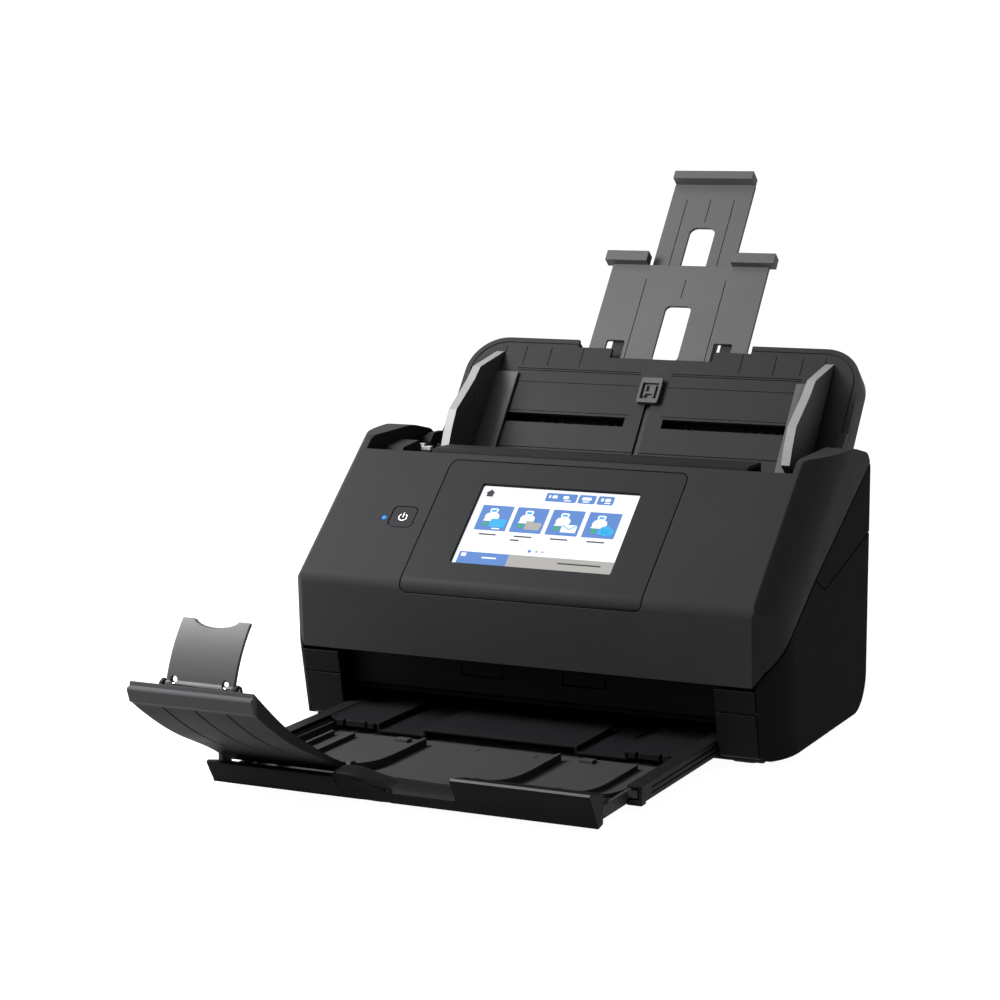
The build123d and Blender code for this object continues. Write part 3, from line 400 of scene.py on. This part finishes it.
SCANNER_ICON = (
    [(-2.2, 1.2), (2.2, 1.2), (2.8, 5.4), (1.8, 6.2), (-1.8, 6.2), (-2.8, 5.4)],
    [(-4.4, -2.6), (4.4, -2.6), (4.8, 0.2), (3.6, 2.2), (-3.6, 2.2), (-4.8, 0.2)],
    [(-5.2, -4), (1.5, -4), (2.2, -2.2), (-4.2, -2.2)],
)
MONITOR = rectangle((-4.8, 4.8), (-2.6, 3.4), 1)
FOLDER = [(-4.8, -2.8), (4.2, -2.8), (5.2, 1.8), (4.4, 2), (4.4, 2.6), (-0.5, 2.6), (-1.2, 3.4), (-4.8, 3.4)]
LETTER = rectangle((-4.6, 4.6), (-2.8, 2.8))
ARROW = [(-2.2, 0.4), (-1, 0.4), (-1, -1), (0.4, -2), (1.8, -1), (1.8, 0.4), (2.4, 0.9), (0.3, 2.3)]


def screen_picture():
    """Every shape on the screen, grouped by colour."""
    shapes = {"blue": [], "white": [], "cyan": [], "green": [], "pale_grey": [], "ink": []}
    width, low, high = TILE
    for number, left in enumerate(TILE_LEFTS):
        middle = left + width / 2
        shapes["blue"].append(rectangle((left, left + width), (low, high), 0.4, 3))
        shapes["white"].extend(moved(outline, middle - 1.6, 54.4, 0.92) for outline in SCANNER_ICON)
        shapes["cyan"].append(moved(rectangle((-1.6, 1.6), (3.4, 5)), middle - 1.6, 54.4, 0.92))
        shapes["green"].append(moved(ARROW, middle - 4.2, 48.6, 0.8))
        spot = (middle + 3.4, 49)
        if number == 0:
            shapes["cyan"].append(moved(MONITOR, *spot))
            shapes["white"].append(moved(rectangle((-2.4, 2.4), (-4, -3.2)), *spot))
        elif number == 1:
            shapes["pale_grey"].append(moved(FOLDER, *spot))
        elif number == 2:
            shapes["white"].append(moved(LETTER, *spot))
            fold = [(spot[0] - 4.4, 51.4), (spot[0], 48.4), (spot[0] + 4.4, 51.4)]
            shapes["cyan"].extend(stroke(fold, 0.5))
        else:
            for x, y, radius in ((-2.4, -0.6, 2.3), (0, 1, 2.9), (2.6, -0.4, 2.4), (0.4, -1.4, 2)):
                shapes["cyan"].append(disc(spot[0] + x, spot[1] + y, radius))
        shapes["ink"].append(rectangle((middle - 5.4, middle + 5.4), (40.4, 41.3), 0.4, 2))
    shapes["ink"].append(rectangle((-18.6, -13), (37.6, 38.5), 0.4, 2))
    # the home sign and the buttons along the top
    shapes["ink"].append([(-45, 71.2), (-42, 73.9), (-39, 71.2), (-40, 71.2), (-40, 68.6), (-44, 68.6),
                          (-44, 71.2)])
    for low_x, high_x in ((-7.6, 11.4), (12.4, 22.8), (24, 33.8)):
        shapes["blue"].append(rectangle((low_x, high_x), (67.9, 74.2), 1))
    for low_x, wide in ((-5.8, 1.2), (-3.6, 3), (3, 3.4), (14.6, 5.6), (26, 1.6), (28.6, 3.2)):
        shapes["white"].append(rectangle((low_x, low_x + wide), (70.4, 72.6), 0.4, 2))
    for low_x, wide in ((4, 4.2), (15.4, 4), (28.6, 3.6)):
        shapes["white"].append(rectangle((low_x, low_x + wide), (68.9, 69.7), 0.3, 2))
    # the page dots and the bar along the bottom
    shapes["blue"].append(disc(-4.1, 31, 1.05))
    for x in (0.2, 3.8):
        shapes["pale_grey"].append(disc(x, 31, 0.75))
    shapes["pale_grey"].append(rectangle((-15, 51.5), (15.8, 27.6)))
    shapes["blue"].append(rectangle((-45.4, -15), (15.8, 27.6)))
    shapes["white"].append(rectangle((-44, -41), (24.2, 26.6), 0.4, 2))
    shapes["white"].append(rectangle((-31, -22), (23.5, 24.5), 0.4, 2))
    shapes["ink"].append(rectangle((15, 41), (23.4, 24.4), 0.4, 2))
    return shapes


picture = screen_picture()
cyan_shapes = picture.pop("cyan")
for height, (colour, outlines) in enumerate(picture.items()):
    lift = -2.7 + 0.03 * (height + 1)
    prisms("screen_" + colour, SLOPE, outlines, SCREEN_GLASS, lift, colour, "scanner_cover")
prisms("screen_cyan_shapes", SLOPE, cyan_shapes, SCREEN_GLASS, -2.5, "cyan", "scanner_cover")

# the power button's sign
button_x, button_y = -88.2, 47.2
power_sign = [arc(button_x, button_y - 0.3, 2.5, 125, 415, 0.55),
              rectangle((button_x - 0.28, button_x + 0.28), (button_y - 0.4, button_y + 3))]
prisms("power_symbol", SLOPE, power_sign, -0.24, -0.14, "symbol", "power_button")

# ---------------------------------------------------------------------------------------------------------
# The input tray's details
# ---------------------------------------------------------------------------------------------------------

prisms("clip_track", TRAY, [rectangle((-1.88, 1.88), (0, 54.9))], -2.05, -1.6, "black", "input_tray")

# the tray's icons and size marks: flat dark marks for debossed lines, their dark a painted shade of the
# grooves
sheet = [(-14.4, 59.8), (-14.4, 63.4), (-12, 66.4), (-8.6, 66.4), (-8.6, 59.8), (-14.4, 59.8)]
icons = stroke(sheet, MARK_LINE)
icons += stroke([(-4, 60.6), (-4, 66), (5.8, 66), (5.8, 60.6), (-4, 60.6)], MARK_LINE)
icons += stroke([(-1, 62.2), (3, 62.2)], MARK_LINE)
for x in (15, 25.6):
    icons.append(arc(x, 63.2, 3.2, 0, 360, MARK_LINE, 32))
    icons += stroke([(x - 2, 61.4), (x, 64.6), (x + 2, 63)], MARK_LINE)
prisms("tray_icons", TRAY, icons, *MARK_HEIGHTS, "mark", "input_tray")
sizes = []
for side in (-1, 1):
    for x in (52.5, 74, 91, 105):
        for row in range(2 if x == 105 else 1):
            reach = sorted((side * x + 1.6, side * x + 5.4))
            sizes.append(rectangle(reach, (71.6 - 3 * row, 72.3 - 3 * row)))
prisms("size_marks", TRAY, sizes, *MARK_HEIGHTS, "mark", "input_tray")

random.seed(5)
for side, name in ((-1, "left"), (1, "right")):
    teeth = []
    for x in (22, 27, 58, 64, 70, 78, 83):
        wide = random.uniform(1, 3)
        teeth.append(rectangle(sorted((side * x, side * (x + wide))), (26.2, 28.2 + random.uniform(0, 3))))
    prisms("slot_ribs_" + name, TRAY, teeth, -13, -11.8, "tray", "input_tray")

# a painted highlight along the top edge of the output tray's lip: a thin strip of the lighter extension
# plastic
lip = stroke([(-232.2, 21.6), (-230.9, 22.3)], 0.3)
prisms("lip_edge_highlight", SIDE_VIEW, lip, 33.3, 107.7, "extension", "output_tray_extension")

# the guides' front edges, light grey, partly their own colour and partly a painted highlight, and a lighter
# strip along each flange, a painted highlight on its rounded inner edge
EDGE_LINE = ((-19.6, 32.1), (-10, 34.6), (3.7, 36.5), (31.5, 26.5), (43, 24), (69.4, 0.9))


def tray_point(along, above):
    """(y, z) in millimetres of a point of the tray."""
    turn = math.radians(TRAY_DEG)
    y = TRAY_ORIGIN[0] + along * math.cos(turn) - above * math.sin(turn)
    return (y, TRAY_ORIGIN[1] + along * math.sin(turn) + above * math.cos(turn))


line = [tray_point(*spot) for spot in EDGE_LINE]
for name, low in (("left_edge_guide", -111), ("right_edge_guide", 105.5)):
    # light grey front edge: partly its own colour, partly a painted highlight
    prisms(name + "_edge", SIDE_VIEW, stroke(line, 0.3), low + 0.15, low + 5.35, "guide_edge", name)
# lighter strips on the flanges: a painted highlight on their rounded inner edges
for name, low in (("left_edge_guide", -95), ("right_edge_guide", 91.5)):
    strip = [rectangle((low, low + 3.5), (-18, 53.4), 1)]
    prisms(name + "_flange_highlight", TRAY, strip, 2.1, 2.3, "extension", name, 0.1)
# the guides' limit marks: flat dark marks, their dark a painted shade of debossed grooves
limit_marks = [stroke([tray_point(14, 24), tray_point(20, 19), tray_point(26, 22)], 0.5),
               stroke([tray_point(4, 9), tray_point(9, 5)], 0.5)]
for name, low in (("left_edge_guide", -105.55), ("right_edge_guide", 105.35)):
    prisms(name + "_marks", SIDE_VIEW, sum(limit_marks, []), low, low + 0.2, "mark", name)

# ---------------------------------------------------------------------------------------------------------
# Light, floor and camera
# ---------------------------------------------------------------------------------------------------------


def stage():
    """A pale floor that curves up into a backdrop, soft lights and the camera at the photo's place."""
    section = [(-6, 0)]
    for step in range(13):
        turn = math.radians(90 * step / 12)
        section.append((3 + 3 * math.sin(turn), 3 - 3 * math.cos(turn)))
    section.append((6, 9))
    shape = bmesh.new()
    rows = [[shape.verts.new((x, y, z - FLOOR_DROP)) for x in (-12, 12)] for y, z in section]
    for row, after in zip(rows, rows[1:]):
        shape.faces.new((row[0], row[1], after[1], after[0])).smooth = True
    mesh = bpy.data.meshes.new("floor")
    shape.to_mesh(mesh)
    shape.free()
    floor = bpy.data.objects.new("floor", mesh)
    bpy.context.collection.objects.link(floor)
    material, tree, shader, place = new_material("pale_floor")
    tone = spread(tree, noise(tree, place, 3), 0, 1)
    grey = mix_colour(tree, tone, (0.14, 0.14, 0.14), (0.15, 0.15, 0.15))
    tree.links.new(grey, shader.inputs["Base Color"])
    shader.inputs["Roughness"].default_value = 0.8
    shader.inputs["Specular IOR Level"].default_value = 0
    shader.inputs["Emission Color"].default_value = (1, 1, 1, 1)
    shader.inputs["Emission Strength"].default_value = 0.97
    mesh.materials.append(material)

    world = bpy.data.worlds.new("studio")
    bpy.context.scene.world = world
    world.use_nodes = True
    background = world.node_tree.nodes["Background"]
    background.inputs["Color"].default_value = (1, 1, 1, 1)
    background.inputs["Strength"].default_value = 0.22

    for name, spot, aim, size, power in (
        ("key", (-0.46, -0.3, 0.56), (-0.12, -0.02, 0.12), 0.3, 16.5),
        ("overhead", (-0.5, -0.2, 1.8), (0, 0, 0.1), 1.2, 17),
        ("front", (-1.1, -1.4, 0.7), (0, -0.1, 0.1), 0.8, 9),
    ):
        data = bpy.data.lights.new(name, "AREA")
        data.size = size
        data.energy = power
        lamp = bpy.data.objects.new(name, data)
        bpy.context.collection.objects.link(lamp)
        lamp.location = spot
        lamp.rotation_euler = (Vector(aim) - Vector(spot)).to_track_quat("-Z", "Y").to_euler()

    azimuth, elevation = math.radians(CAMERA_AZIMUTH), math.radians(CAMERA_ELEVATION)
    back = Vector((math.sin(azimuth) * math.cos(elevation), -math.cos(azimuth) * math.cos(elevation),
                   math.sin(elevation)))
    right = Vector((math.cos(azimuth), math.sin(azimuth), 0))
    above = back.cross(right)
    data = bpy.data.cameras.new("camera")
    data.sensor_width = 36
    data.lens = CAMERA_LENS
    camera = bpy.data.objects.new("camera", data)
    bpy.context.collection.objects.link(camera)
    turn = Matrix((right, above, back)).transposed().to_4x4()
    camera.matrix_world = Matrix.Translation(CAMERA_PLACE) @ turn
    bpy.context.scene.camera = camera
    bpy.context.scene.view_settings.view_transform = "Standard"


stage()
